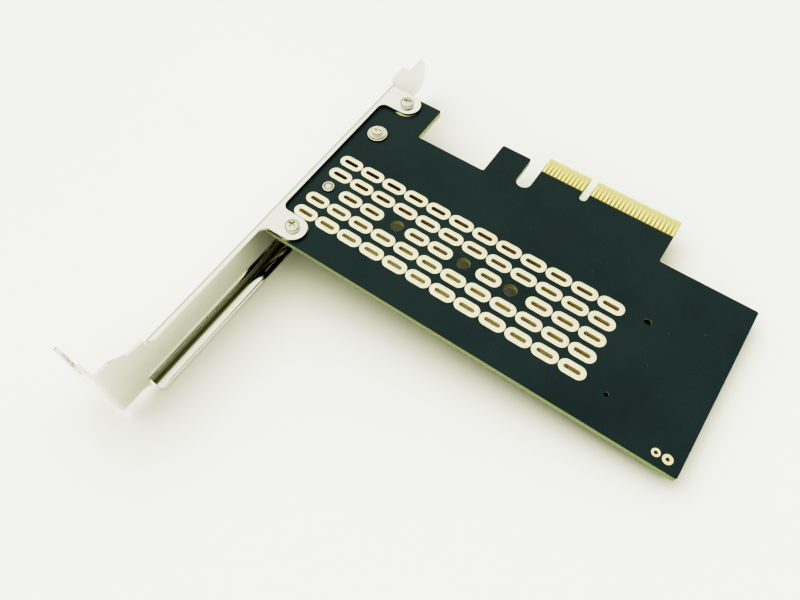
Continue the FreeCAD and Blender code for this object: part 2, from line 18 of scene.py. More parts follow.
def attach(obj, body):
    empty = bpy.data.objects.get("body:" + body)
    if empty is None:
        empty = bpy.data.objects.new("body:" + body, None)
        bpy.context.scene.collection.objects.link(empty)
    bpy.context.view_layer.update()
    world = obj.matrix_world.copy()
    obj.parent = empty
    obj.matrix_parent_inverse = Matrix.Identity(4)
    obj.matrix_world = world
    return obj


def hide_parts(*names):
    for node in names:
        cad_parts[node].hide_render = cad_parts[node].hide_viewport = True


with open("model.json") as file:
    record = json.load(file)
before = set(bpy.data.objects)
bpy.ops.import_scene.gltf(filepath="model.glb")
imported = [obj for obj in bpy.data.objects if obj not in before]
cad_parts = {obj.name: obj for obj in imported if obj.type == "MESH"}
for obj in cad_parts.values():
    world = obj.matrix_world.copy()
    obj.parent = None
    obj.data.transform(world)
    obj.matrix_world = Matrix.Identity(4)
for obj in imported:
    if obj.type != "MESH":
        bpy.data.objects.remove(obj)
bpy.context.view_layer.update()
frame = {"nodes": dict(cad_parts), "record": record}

# %% [markdown]
# ## The board's own axes
# The card lies tilted, because its bracket's lip and its drive socket are what touch the table. Pieces are
# far easier to place in the board's own axes: x along the board, y towards the gold fingers, z out of the
# solder side, in millimetres. One of the drive's fixing holes is a mount in the record, so its place and
# its direction give the tilt and the origin.

# %% Find the board's axes
MM = 0.001
SLOT_PITCH_X, SLOT_PITCH_Y = 6.317, 4.546
DRIVE_Y = -2 * SLOT_PITCH_Y
BOARD_T = 1.6
mounts = {m["name"]: m for m in frame["record"]["mounts"]}
hole = mounts["drive_hole_2260"]
away = Vector(hole["axis"])
TILT = math.atan2(-away.x, -away.z)
turn = Matrix.Rotation(TILT, 4, "Y")
HOLE_2260 = Vector((19.74, DRIVE_Y, -BOARD_T / 2))
origin = Vector(hole["pos_m"]) - turn @ (HOLE_2260 * MM)
BOARD = Matrix.Translation(origin) @ turn @ Matrix.Scale(MM, 4)
MIRROR = Matrix.Scale(-1, 4, (0, 0, 1))
print("tilt", round(math.degrees(TILT), 3), "degrees")
print("board origin", [round(v * 1000, 2) for v in origin], "mm")

# %% [markdown]
# ## Small mesh helpers
# Every piece is drawn in board millimetres and carried to its place by one matrix, which is applied to the
# mesh itself. The object stays at the world's origin, so patterns on Object coordinates line up on all the
# pieces, and an exporter can bake each piece without moving it.

# %% Helpers that make and finish pieces
def to_mesh(verts, faces, smooth=True):
    mesh = bpy.data.meshes.new("shape")
    mesh.from_pydata([tuple(v) for v in verts], [], faces)
    mesh.validate()
    mesh.polygons.foreach_set("use_smooth", [smooth] * len(mesh.polygons))
    return mesh


def new_object(name, mesh):
    piece = bpy.data.objects.new(name, mesh)
    bpy.context.scene.collection.objects.link(piece)
    return piece


def outward(mesh, merge=1e-6):
    """Merges points that coincide and turns every face outwards."""
    bm = bmesh.new()
    bm.from_mesh(mesh)
    bmesh.ops.remove_doubles(bm, verts=bm.verts, dist=merge)
    bmesh.ops.recalc_face_normals(bm, faces=bm.faces)
    bm.to_mesh(mesh)
    bm.free()
    return mesh


def strips(rings, n, loop=False, closed=True):
    """Quads between neighbouring rings of n points; loop joins the last ring to the first as well."""
    faces = []
    for k in range(rings if loop else rings - 1):
        near, far = k * n, (k + 1) % rings * n
        for i in range(n if closed else n - 1):
            j = (i + 1) % n
            faces.append((near + i, far + i, far + j, near + j))
    return faces


def join(meshes, name):
    bm = bmesh.new()
    for mesh in meshes:
        bm.from_mesh(mesh)
    out = bpy.data.meshes.new(name)
    bm.to_mesh(out)
    bm.free()
    return out


def baked(piece):
    """Turns a piece with modifiers into a plain mesh."""
    bpy.context.view_layer.update()
    graph = bpy.context.evaluated_depsgraph_get()
    mesh = bpy.data.meshes.new_from_object(piece.evaluated_get(graph), depsgraph=graph)
    piece.modifiers.clear()
    old = piece.data
    piece.data = mesh
    mesh.name = piece.name
    if old.users == 0:
        bpy.data.meshes.remove(old)
    return piece


def soften(piece, width, segments=2, angle=32.0):
    """Rounds the sharp edges a little, as real edges are, and keeps the flats flat in the light."""
    bevel = piece.modifiers.new("edge", "BEVEL")
    bevel.width = width
    bevel.segments = segments
    bevel.limit_method = "ANGLE"
    bevel.angle_limit = math.radians(angle)
    weigh = piece.modifiers.new("flats", "WEIGHTED_NORMAL")
    weigh.weight = 80
    return baked(piece)


def paint(mesh, mat):
    """Gives a mesh one material, in place of any it has."""
    mesh.materials.clear()
    mesh.materials.append(mat)


def finish(piece, mat, nodes=(), at=(0, 0, 0)):
    """Carries a piece from board millimetres to its place, and hands it to the frame."""
    piece.data.transform(Matrix.Translation(at))
    piece.data.transform(BOARD)
    paint(piece.data, mat)
    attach(piece, "root")
    if nodes:
        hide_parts(*nodes)
    print("%-28s %6d faces" % (piece.name, len(piece.data.polygons)))


def finish_set(name, meshes, mat):
    """Joins many small meshes into one finished piece."""
    finish(new_object(name, join(meshes, name)), mat)


# %% [markdown]
# ## Turned shapes
# Screws, nuts and standoffs are turned on a lathe, so they are lathed here too: a short profile of
# (radius, height) corners goes round in equal steps. The ends that touch the axis close to a point, and a
# profile that starts and ends off the axis is closed on itself and leaves a bore.

# %% Lathe, blade and cut
def lathe(profile, steps=48, bore=False):
    verts = []
    for k in range(steps):
        a = 2 * math.pi * k / steps
        verts += [(r * math.cos(a), r * math.sin(a), z) for r, z in profile]
    return outward(to_mesh(verts, strips(steps, len(profile), loop=True, closed=bore)), 1e-4)


def blade(length, width, depth):
    """A driver's blade: a box that narrows as it goes down."""
    corners = []
    for z, s, t in ((0.3, 1.0, 1.0), (0.0, 1.0, 1.0), (-depth, 0.45, 0.75)):
        x, y = length / 2 * s, width / 2 * t
        corners += [(-x, -y, z), (x, -y, z), (x, y, z), (-x, y, z)]
    faces = [(0, 1, 2, 3), (11, 10, 9, 8)] + strips(3, 4)
    return outward(to_mesh(corners, faces, smooth=False), 1e-4)


def boolean(piece, mesh, operation):
    other = new_object("tool", mesh)
    mod = piece.modifiers.new("cut", "BOOLEAN")
    mod.object = other
    mod.operation = operation
    mod.solver = "EXACT"
    baked(piece)
    bpy.data.objects.remove(other)


# %% [markdown]
# ## The thread
# A thread is a shallow ridge that climbs round the shank. It could be swept along a spiral, but a swept
# ridge never closes neatly against the shank. Here the shank is a tube of rings whose radius rises and
# falls with height and angle together, which gives a closed skin with the ridge already on it.

# %% A threaded shank
def thread(radius, pitch, length, steps=24):
    depth = 0.6 * pitch
    rings = max(2, int(length / pitch * 6))
    verts = []
    for i in range(rings + 1):
        z = -length * i / rings
        fade = max(0.0, min(1.0, (length + z) / (0.8 * pitch)))
        for k in range(steps):
            a = 2 * math.pi * k / steps
            ridge = abs(2 * ((z / pitch - k / steps) % 1.0) - 1)
            r = radius - depth * (1 - ridge * fade)
            verts.append((r * math.cos(a), r * math.sin(a), z))
    faces = strips(rings + 1, steps)
    faces.append(tuple(range(steps)))
    faces.append(tuple(reversed(range(rings * steps, (rings + 1) * steps))))
    return outward(to_mesh(verts, faces), 1e-5)


# %% [markdown]
# ## Shader groups that several finishes share
# Two effects come up again and again: fine mottling, and the faint lines that rolling or brushing leaves in
# metal. Each is a small node group with named inputs, built once. A group gives back only masks, so the
# Principled shader and its plain values stay in each material.

# %% Node helpers
SOCKET_KINDS = {float: "Float", int: "Int", tuple: "Vector"}


def new_tree(name, kind, out_label, out_kind, **inputs):
    """A node group with named inputs. Text in place of a default value gives the socket's kind."""
    tree = bpy.data.node_groups.new(name, kind)
    tree.interface.new_socket(out_label, in_out="OUTPUT", socket_type="NodeSocket" + out_kind)
    for label, value in inputs.items():
        socket = "NodeSocket" + (value if isinstance(value, str) else SOCKET_KINDS[type(value)])
        s = tree.interface.new_socket(label.replace("_", " "), in_out="INPUT", socket_type=socket)
        if not isinstance(value, str):
            s.default_value = value
    return tree, tree.nodes.new("NodeGroupInput").outputs, tree.nodes.new("NodeGroupOutput").inputs


def feed(value, socket):
    """Links an output to a socket, or sets a plain value on it."""
    if isinstance(value, bpy.types.NodeSocket):
        socket.id_data.links.new(value, socket)
    else:
        socket.default_value = (*value, 1.0) if socket.type == "RGBA" else value


def add_node(tree, kind, **inputs):
    """A new node, with values or links on its named inputs."""
    node = tree.nodes.new(kind)
    for label, value in inputs.items():
        feed(value, node.inputs[label.replace("_", " ")])
    return node


def math_node(operation, *values):
    """Works out an operation, in the tree that the first output among its values belongs to."""
    tree = next(v.id_data for v in values if isinstance(v, bpy.types.NodeSocket))
    node = tree.nodes.new("ShaderNodeMath")
    node.operation = operation
    for value, socket in zip(values, node.inputs):
        feed(value, socket)
    return node.outputs[0]


def plus(a, b):
    return math_node("ADD", a, b)


def minus(a, b):
    return math_node("SUBTRACT", a, b)


def times(a, b):
    return math_node("MULTIPLY", a, b)


def distance(value, middle):
    return math_node("ABSOLUTE", minus(value, middle))


def split(vector):
    return add_node(vector.id_data, "ShaderNodeSeparateXYZ", Vector=vector).outputs


def ramp(value, low, high, invert=False):
    """A mask that goes from 0 at low to 1 at high, or from 1 to 0 when inverted."""
    start, end = (1.0, 0.0) if invert else (0.0, 1.0)
    node = add_node(value.id_data, "ShaderNodeMapRange", Value=value, From_Min=low, From_Max=high,
                    To_Min=start, To_Max=end)
    node.clamp = True
    return node.outputs["Result"]


def mix_colour(factor, a, b):
    node = factor.id_data.nodes.new("ShaderNodeMix")
    node.data_type = "RGBA"
    first, second = [s for s in node.inputs if s.type == "RGBA"]
    for value, socket in ((factor, node.inputs[0]), (a, first), (b, second)):
        feed(value, socket)
    return [s for s in node.outputs if s.type == "RGBA"][0]


# %% The shared groups
def make_mottle():
    """Soft cloudy patches of a given size in millimetres."""
    tree, given, result = new_tree("mottle", "ShaderNodeTree", "Mask", "Float", Vector="Vector", Size=1.0)
    coarse = add_node(tree, "ShaderNodeTexNoise", Vector=given["Vector"], Detail=4.0, Roughness=0.55,
                      Scale=math_node("DIVIDE", 1.0, given["Size"]))
    feed(ramp(coarse.outputs[0], 0.32, 0.68), result["Mask"])
    return tree


def make_grain():
    """Long faint lines along y, from rolling the sheet."""
    tree, given, result = new_tree("rolled_grain", "ShaderNodeTree", "Mask", "Float", Vector="Vector",
                                   Length=8.0, Fineness=6.0)
    x, y, z = split(given["Vector"])
    stretched = add_node(tree, "ShaderNodeCombineXYZ", X=times(x, given["Fineness"]),
                         Y=math_node("DIVIDE", y, given["Length"]), Z=times(z, given["Fineness"]))
    lines = add_node(tree, "ShaderNodeTexNoise", Vector=stretched.outputs[0], Scale=1.0, Detail=3.0)
    feed(ramp(lines.outputs[0], 0.3, 0.7), result["Mask"])
    return tree


MOTTLE, GRAIN = make_mottle(), make_grain()
print("shader groups", [g.name for g in bpy.data.node_groups])

# %% [markdown]
# ## Materials in the board's axes
# Each material starts with Object coordinates and one Mapping node. The Mapping node scales metres to
# millimetres and turns them by the tilt, so every pattern is written in the board's own millimetres.

# %% Start a material
def material(name, colour, metallic, roughness):
    mat = bpy.data.materials.new(name)
    mat.use_nodes = True
    mat.diffuse_color = (*colour, 1.0)
    tree = mat.node_tree
    shader = tree.nodes["Principled BSDF"].inputs
    for label, value in (("Base Color", colour), ("Metallic", metallic), ("Roughness", roughness)):
        feed(value, shader[label])
    coords = tree.nodes.new("ShaderNodeTexCoord")
    turned = add_node(tree, "ShaderNodeMapping", Vector=coords.outputs["Object"], Rotation=(0.0, -TILT, 0.0),
                      Location=turn.inverted() @ (-origin * 1000.0), Scale=(1000.0, 1000.0, 1000.0))
    return mat, shader, turned.outputs["Vector"]


def use(group, vector, **values):
    node = vector.id_data.nodes.new("ShaderNodeGroup")
    node.node_tree = group
    feed(vector, node.inputs["Vector"])
    for label, v in values.items():
        node.inputs[label].default_value = v
    return node.outputs["Mask"]


def pointing(p, direction):
    """How far a face points along one of the board's directions: 1 along it, -1 against it."""
    tree = p.id_data
    node = tree.nodes.new("ShaderNodeVectorMath")
    node.operation = "DOT_PRODUCT"
    feed(tree.nodes["Texture Coordinate"].outputs["Normal"], node.inputs[0])
    node.inputs[1].default_value = turn.to_3x3() @ Vector(direction)
    return node.outputs["Value"]


def dress(shader, colour, rough, height, depth, strength):
    """Gives a shader its colour and roughness, and bumps its surface by a height mask."""
    bump = add_node(height.id_data, "ShaderNodeBump", Height=height, Distance=depth, Strength=strength)
    feed(bump.outputs["Normal"], shader["Normal"])
    feed(colour, shader["Base Color"])
    feed(rough, shader["Roughness"])


# %% [markdown]
# ## The board: mask, laminate and bare copper
# A circuit board is a sandwich. Its faces are glossy solder mask, a very dark blue-green, faintly clouded;
# its cut sides show the raw glass-fibre laminate; and where no mask is printed, the laminate between the
# gold fingers and the copper round the holes lie bare. One material tells them apart from the way a face
# points and from where it is: sideways faces are laminate, and what stands proud is copper.

# %% Board material
TONGUE_MIDDLE, TONGUE_HALF, MASK_END = 56.25, 17.6, 24.35
BEVEL_FROM, BEVEL_TO = 25.6, 28.6
HOLE_BAND, HOLES_END_X = 1.9, 60.0
MASK_DARK, MASK_LIGHT = (0.0230, 0.0390, 0.0520), (0.0310, 0.0490, 0.0620)
LAMINATE, LAMINATE_PALE, LAMINATE_LINE = (0.30, 0.34, 0.22), (0.40, 0.44, 0.30), (0.06, 0.08, 0.05)
LAMINATE_DEEP, LAMINATE_WEAVE, LAMINATE_THIN = (0.20, 0.17, 0.055), (0.30, 0.26, 0.10), (0.66, 0.62, 0.36)
LAMINATE_PAINTED_LIGHT, HOLE_WALL, COPPER_PLATE = (0.60, 0.66, 0.47), (0.40, 0.40, 0.26), (0.88, 0.78, 0.58)


def bare_laminate(p, y):
    """What shows between the fingers: the weave, paler towards the bevel, where the board is thin."""
    weave = add_node(p.id_data, "ShaderNodeTexWave", Vector=p, Scale=0.9, Distortion=1.2)
    weave.bands_direction = "DIAGONAL"
    raw = mix_colour(weave.outputs["Fac"], LAMINATE_DEEP, LAMINATE_WEAVE)
    return mix_colour(ramp(y, BEVEL_FROM, BEVEL_TO), raw, LAMINATE_THIN)


def cut_side(p):
    """The board's sides: painted paler where they face along +x, yellower in the drive's holes, dark along
    both rims.
    """
    x, y, z = split(p)
    side = mix_colour(use(GRAIN, p, Length=1.6, Fineness=5.0), LAMINATE, LAMINATE_PALE)
    # Painted light: sides that face along +x are mixed towards a paler colour.
    side = mix_colour(ramp(pointing(p, (1, 0, 0)), 0.5, 0.9), side, LAMINATE_PAINTED_LIGHT)
    in_hole = ramp(distance(y, DRIVE_Y), HOLE_BAND, HOLE_BAND + 0.1, invert=True)
    in_hole = times(in_hole, ramp(x, HOLES_END_X, HOLES_END_X + 1.0, invert=True))
    side = mix_colour(in_hole, side, HOLE_WALL)
    rim = ramp(distance(z, -BOARD_T / 2), 0.70, 0.78)
    return mix_colour(times(rim, 0.55), side, LAMINATE_LINE)


def board_material():
    mat, shader, p = material("solder_mask", MASK_DARK, 0.0, 0.30)
    x, y, z = split(p)
    flat = ramp(math_node("ABSOLUTE", pointing(p, (0, 0, 1))), 0.80, 0.86)
    proud = ramp(z, 0.02, 0.03)
    on_tongue = ramp(distance(x, TONGUE_MIDDLE), TONGUE_HALF, TONGUE_HALF + 0.1, invert=True)
    bare = times(ramp(y, MASK_END, MASK_END + 0.05), on_tongue)
    fine = use(MOTTLE, p, Size=0.35)
    mask = mix_colour(use(MOTTLE, p, Size=22.0), MASK_DARK, MASK_LIGHT)
    face = mix_colour(bare, mask, bare_laminate(p, y))
    skin = mix_colour(flat, cut_side(p), face)
    skin = mix_colour(proud, skin, COPPER_PLATE)
    feed(proud, shader["Metallic"])
    dull = plus(times(fine, 0.05), 0.27)
    rough = plus(dull, times(minus(1.0, flat), 0.4))
    shader["Specular IOR Level"].default_value = 0.45
    dress(shader, skin, rough, fine, 0.00001, 0.12)
    return mat


SOLDER_MASK = board_material()
board = frame["nodes"]["circuit_board"]
paint(board.data, SOLDER_MASK)
print("board faces", len(board.data.polygons))

# %% [markdown]
# ## Metals and plastics
# The bracket is bright nickel on rolled steel; the fasteners' nickel is a little darker and warmer; the
# lands round the slots are pale immersion gold, and the fingers a thicker, yellower gold. Metals get their
# life from roughness that varies: rolled lines in the sheet, a soft mottle on the plating.

# %% Metal materials
# The third nickel colour is painted shade, mixed into the hollow of the lip's fold.
NICKEL_LIGHT, NICKEL_DARK, NICKEL_FOLD_SHADE = (0.86, 0.86, 0.84), (0.79, 0.79, 0.765), (0.15, 0.145, 0.085)
FOLD_TOP, FOLD_BOTTOM, FOLD_X, FOLD_END_Y = (-13.5, -11.5), (-14.25, -13.8), (-6.95, -6.75), (-68.2, -67.8)


def painted_fold_shade(p):
    """Painted shade for the hollow of the lip's fold: low down, inside the plate's outer face, up to the
    lip's end.
    """
    x, y, z = split(p)
    fold = times(ramp(z, *FOLD_TOP, invert=True), ramp(z, *FOLD_BOTTOM))
    fold = times(fold, ramp(x, *FOLD_X))
    return times(fold, ramp(y, *FOLD_END_Y))


def metal_material(name, light, dark, roughness, spread, grain_length, fineness, shade_place=None):
    """A plated metal with rolled lines and a mottle; the last argument makes a mask for painted shade and
    extra roughness.
    """
    mat, shader, p = material(name, light, 1.0, roughness)
    lines = use(GRAIN, p, Length=grain_length, Fineness=fineness)
    both = times(plus(lines, use(MOTTLE, p, Size=5.0)), 0.5)
    colour = mix_colour(both, light, dark)
    rough = plus(times(both, spread), roughness - spread / 2)
    if shade_place is not None:
        place = shade_place(p)
        # Painted shade: the fold's hollow is mixed towards the dark colour, and its roughness rises too.
        colour = mix_colour(place, colour, NICKEL_FOLD_SHADE)
        rough = plus(rough, times(place, 0.3))
    dress(shader, colour, rough, lines, 0.000004, 0.2)
    return mat


NICKEL = metal_material("bright_nickel_sheet", NICKEL_LIGHT, NICKEL_DARK, 0.09, 0.06, 14.0, 5.0, painted_fold_shade)
SCREW = metal_material("nickel_screw", (0.82, 0.81, 0.77), (0.64, 0.63, 0.59), 0.14, 0.08, 0.6, 8.0)
FINGER = metal_material("finger_gold", (1.0, 0.90, 0.55), (0.94, 0.82, 0.46), 0.25, 0.10, 6.0, 12.0)
TIN = metal_material("dull_tin", (0.74, 0.74, 0.72), (0.60, 0.60, 0.58), 0.34, 0.16, 0.8, 6.0)


def land_material():
    """Pale plating on the faces; the slot's lining is browner, duller and darker, partly painted shade."""
    mat, shader, p = material("pale_gold_land", (0.93, 0.89, 0.77), 1.0, 0.34)
    x, y, z = split(p)
    wall = ramp(distance(z, -BOARD_T / 2), BOARD_T / 2 - 0.10, BOARD_T / 2 + 0.005, invert=True)
    cloud = use(MOTTLE, p, Size=1.1)
    fine = use(MOTTLE, p, Size=0.25)
    face = mix_colour(cloud, (0.94, 0.90, 0.77), (0.86, 0.83, 0.68))
    # The lining's colours are darker than the faces: partly the plating's own tone, partly painted shade
    # inside the slot.
    lining_plain = mix_colour(cloud, (0.74, 0.66, 0.47), (0.62, 0.54, 0.37))
    lining_shaded = mix_colour(cloud, (0.38, 0.28, 0.19), (0.28, 0.21, 0.14))
    # Painted shade: the lining grows darker towards the bracket and the fingers.
    lining_shade_mask = ramp(minus(y, times(x, 0.25)), -23.0, -2.0)
    colour = mix_colour(wall, face, mix_colour(lining_shade_mask, lining_plain, lining_shaded))
    feed(minus(1.0, times(wall, 0.75)), shader["Metallic"])
    dull = plus(times(fine, 0.12), 0.28)
    dress(shader, colour, plus(dull, times(wall, 0.15)), fine, 0.000006, 0.3)
    return mat


LAND = land_material()


def moulded(name, colour, light, roughness, pit=0.2):
    mat, shader, p = material(name, colour, 0.0, roughness)
    fine = use(MOTTLE, p, Size=pit)
    tint = mix_colour(use(MOTTLE, p, Size=4.0), colour, light)
    dress(shader, tint, plus(times(fine, 0.15), roughness - 0.07), fine, 0.00001, 0.35)
    return mat


MOULDING = moulded("socket_moulding", (0.012, 0.012, 0.013), (0.020, 0.020, 0.021), 0.48)
CERAMIC = moulded("ceramic_body", (0.30, 0.19, 0.10), (0.38, 0.26, 0.15), 0.42, 0.12)
GLAZE = moulded("resistor_glaze", (0.010, 0.010, 0.012), (0.018, 0.018, 0.020), 0.25, 0.15)
RESIN = moulded("lamp_resin", (0.70, 0.74, 0.52), (0.80, 0.84, 0.66), 0.15, 0.3)
print("materials", len(bpy.data.materials))

# %% [markdown]
# ## Geometry Nodes for what repeats
# The 56 plated slots, the 64 fingers and the socket's ribs, beams and pads are each one small shape, many
# times over. Copying them by hand would work, but a node tree says the rule once and keeps its sizes as
# named inputs. The tree ends in Realize Instances and Set Material, so what comes out is a plain mesh.

# %% Build and run node trees
def close_tree(tree, given, result, points, keep):
    """Every tree ends the same way: the shape on the kept points, made real, then its material."""
    shape = add_node(tree, "GeometryNodeObjectInfo", Object=given["Shape"])
    copies = add_node(tree, "GeometryNodeInstanceOnPoints", Points=points, Selection=keep,
                      Instance=shape.outputs["Geometry"])
    real = add_node(tree, "GeometryNodeRealizeInstances", Geometry=copies.outputs[0])
    painted = add_node(tree, "GeometryNodeSetMaterial", Geometry=real.outputs[0], Material=given["Material"])
    feed(painted.outputs[0], result[0])
    return tree


def grow(name, tree, **values):
    """Runs a tree on an empty mesh and keeps the result as a plain mesh."""
    piece = new_object(name, bpy.data.meshes.new(name))
    mod = piece.modifiers.new("nodes", "NODES")
    mod.node_group = tree
    keys = {s.name: s.identifier for s in tree.interface.items_tree if s.in_out == "INPUT"}
    for label, v in values.items():
        mod[keys[label.replace("_", " ")]] = v
    return baked(piece)


def grid_tree():
    """Instances one shape on a grid of points, less four places of one row."""
    tree, given, result = new_tree("slot grid", "GeometryNodeTree", "Geometry", "Geometry", Shape="Object",
                                   Columns=12, Rows=5, Pitch_X=6.3, Pitch_Y=4.5, Blank_Row=2, Blank_A=0,
                                   Blank_B=3, Blank_C=6, Blank_D=8, Material="Material")
    grid = tree.nodes.new("GeometryNodeMeshGrid")
    for count, axis in (("Columns", "X"), ("Rows", "Y")):
        size = times(minus(given[count], 1.0), given["Pitch " + axis])
        feed(size, grid.inputs["Size " + axis])
        feed(given[count], grid.inputs["Vertices " + axis])
    index = tree.nodes.new("GeometryNodeInputIndex").outputs[0]
    column = math_node("FLOOR", math_node("DIVIDE", index, given["Rows"]))
    row = math_node("MODULO", index, given["Rows"])
    blank = math_node("COMPARE", column, given["Blank A"], 0.1)
    for label in ("Blank B", "Blank C", "Blank D"):
        blank = math_node("MAXIMUM", blank, math_node("COMPARE", column, given[label], 0.1))
    in_row = math_node("COMPARE", row, given["Blank Row"], 0.1)
    keep = minus(1.0, times(blank, in_row))
    return close_tree(tree, given, result, grid.outputs["Mesh"], keep)


def row_tree():
    """Instances one shape along a line, with a wider step or a gap where a key goes."""
    tree, given, result = new_tree("row with a key", "GeometryNodeTree", "Geometry", "Geometry",
                                   Shape="Object", Count=32, Step=(1.0, 0.0, 0.0), Start=(0.0, 0.0, 0.0),
                                   Key_After=11, Key_Step=(2.0, 0.0, 0.0), Skip_From=-1, Skip_To=-1,
                                   Material="Material")
    line = add_node(tree, "GeometryNodeMeshLine", Count=given["Count"], Start_Location=given["Start"],
                    Offset=given["Step"])
    index = tree.nodes.new("GeometryNodeInputIndex").outputs[0]
    past = math_node("GREATER_THAN", index, minus(given["Key After"], 0.5))
    jump = tree.nodes.new("ShaderNodeVectorMath")
    jump.operation = "SCALE"
    feed(given["Key Step"], jump.inputs[0])
    feed(past, jump.inputs["Scale"])
    moved = add_node(tree, "GeometryNodeSetPosition", Geometry=line.outputs["Mesh"], Offset=jump.outputs[0])
    above = math_node("GREATER_THAN", index, minus(given["Skip From"], 0.5))
    below = math_node("LESS_THAN", index, plus(given["Skip To"], 0.5))
    keep = minus(1.0, times(above, below))
    return close_tree(tree, given, result, moved.outputs[0], keep)


GRID_TREE, ROW_TREE = grid_tree(), row_tree()
print("node trees", GRID_TREE.name, "and", ROW_TREE.name)

# %% [markdown]
# ## The plated slots
# Each cooling slot is routed, then plated: a pale land on both faces, joined by a thin lining down the wall.
# The section of that plating is one closed loop, and it is swept round an oval path. The lands of one row
# almost touch, end to end.

# %% One plated slot, then the grid
SLOT_L, SLOT_W, LAND_W, PLATE = 3.85, 1.0, 3.36, 0.035


def ring_mesh(length, width, section, flats=10):
    """Sweeps a closed section of (outward, up) corners round an oval hole."""
    r = width / 2
    c = length / 2 - r
    verts = []
    for end, start in ((1, -90), (-1, 90)):
        for k in range(flats + 1):
            a = math.radians(start + 180 * k / flats)
            point = Vector((end * c + r * math.cos(a), r * math.sin(a), 0))
            out = Vector((math.cos(a), math.sin(a), 0))
            verts += [point + out * u + Vector((0, 0, v)) for u, v in section]
    return outward(to_mesh(verts, strips(2 * (flats + 1), len(section), loop=True)))


def plating(land):
    """The plating's section: land, lip, lining, and the land on the other side."""
    low = -BOARD_T - PLATE
    return [(land, 0.0), (land, PLATE * 0.7), (land - 0.03, PLATE), (0.03, PLATE), (-0.02, PLATE * 0.6),
            (-0.03, -0.05), (-0.03, -BOARD_T + 0.05), (-0.02, low + 0.01), (0.03, low), (land - 0.03, low),
            (land, low + 0.01), (land, -BOARD_T), (0.0, -BOARD_T + 0.001), (0.0, -0.001)]


slot_shape = new_object("slot_shape", ring_mesh(SLOT_L, SLOT_W, plating((LAND_W - SLOT_W) / 2)))
lands = grow("cooling_slot_lands", GRID_TREE, Shape=slot_shape, Columns=12, Rows=5, Pitch_X=SLOT_PITCH_X,
             Pitch_Y=SLOT_PITCH_Y, Blank_Row=2, Material=LAND)
bpy.data.objects.remove(slot_shape)
finish(lands, LAND, at=(11 * SLOT_PITCH_X / 2, -4 * SLOT_PITCH_Y / 2, 0))

# %% [markdown]
# ## The gold fingers
# A finger is a flat gold bar with rounded ends towards the board and a square end at the bevel. One bar is
# drawn with a chamfered rim, and the row tree repeats it, with a wider step at the key.

# %% One finger, then both rows
FINGER_X0, FINGER_Y0, FINGER_LEN, FINGER_W, FINGER_T, FINGER_RIM = 39.75, 24.55, 4.35, 0.70, 0.05, 0.045


def finger_bar(length, width, thick, flats=5):
    r = width * 0.3
    outline = [(-width / 2, length), (-width / 2, r)]
    for k in range(1, flats + 1):
        a = math.radians(90 * k / flats)
        outline.append((-width / 2 + r * (1 - math.cos(a)), r * (1 - math.sin(a))))
    outline += [(-x, y) for x, y in reversed(outline)]
    n = len(outline)
    narrow, short = 1 - 2 * FINGER_RIM / width, 1 - 2 * FINGER_RIM / length
    verts = [(x, y, z) for z in (0.0, thick * 0.55) for x, y in outline]
    verts += [(x * narrow, length / 2 + (y - length / 2) * short, thick) for x, y in outline]
    faces = [tuple(range(2 * n, 3 * n)), tuple(reversed(range(n)))] + strips(3, n)
    return outward(to_mesh(verts, faces))


for name, node, z in (("fingers_upper", "edge_contacts_solder_side", 0.0),
                      ("fingers_lower", "edge_contacts_component_side", -BOARD_T)):
    bar = new_object("bar", finger_bar(FINGER_LEN, FINGER_W, FINGER_T))
    if z < 0:
        bar.data.transform(MIRROR)
        outward(bar.data)
    row = grow(name, ROW_TREE, Shape=bar, Count=32, Start=(FINGER_X0, FINGER_Y0, z), Step=(1.0, 0, 0),
               Key_After=11, Key_Step=(2.0, 0, 0), Material=FINGER)
    bpy.data.objects.remove(bar)
    finish(row, FINGER, [node])

# %% [markdown]
# ## The bracket
# The CAD bracket has the right folds, but its edges are knife-sharp. Real sheet has edges rounded by
# tumbling and plating, and they catch a thin line of light. A copy of the CAD mesh is merged, its flat
# triangles are dissolved into whole faces, and a small bevel goes on every sharp edge.

# %% Bracket with softened edges
def softened_copy(name, node, width, cuts=()):
    """A copy of a CAD piece in board millimetres, with its cuts made and then its edges rounded."""
    mesh = frame["nodes"][node].data.copy()
    mesh.transform(BOARD.inverted())
    bm = bmesh.new()
    bm.from_mesh(mesh)
    bmesh.ops.remove_doubles(bm, verts=bm.verts, dist=2e-4)
    bmesh.ops.dissolve_limit(bm, angle_limit=math.radians(0.6), verts=bm.verts, edges=bm.edges)
    for face in bm.faces:
        face.smooth = True
    bm.to_mesh(mesh)
    bm.free()
    piece = new_object(name, mesh)
    for cut in cuts:
        boolean(piece, cut, "DIFFERENCE")
    return soften(piece, width)


finish(softened_copy("folded_bracket", "bracket", 0.16), NICKEL, ["bracket"])

# %% [markdown]
# ## Screws and nuts
# The two ear screws have low round heads, the small ones flat pan heads. A head is lathed, its cross
# recess is cut with two tapered blades, and a small bevel softens every edge. The thread follows as its
# own closed skin and is joined on.

# %% Cut a head and add its shank
def screw(name, profile, recess, depth, turn_deg, shank_r, pitch, length):
    """A screw whose head stands on z = 0 and whose shank hangs below it."""
    head = new_object(name, lathe(profile))
    top = profile[-1][1]
    for angle in (turn_deg, turn_deg + 90):
        tool = blade(recess, recess * 0.24, depth)
        tool.transform(Matrix.Translation((0, 0, top)) @ Matrix.Rotation(math.radians(angle), 4, "Z"))
        boolean(head, tool, "DIFFERENCE")
    soften(head, 0.035, 2, 30)
    shank = thread(shank_r, pitch, length)
    shank.transform(Matrix.Translation((0, 0, 0.02)))
    head.data = join([head.data, shank], name)
    return head


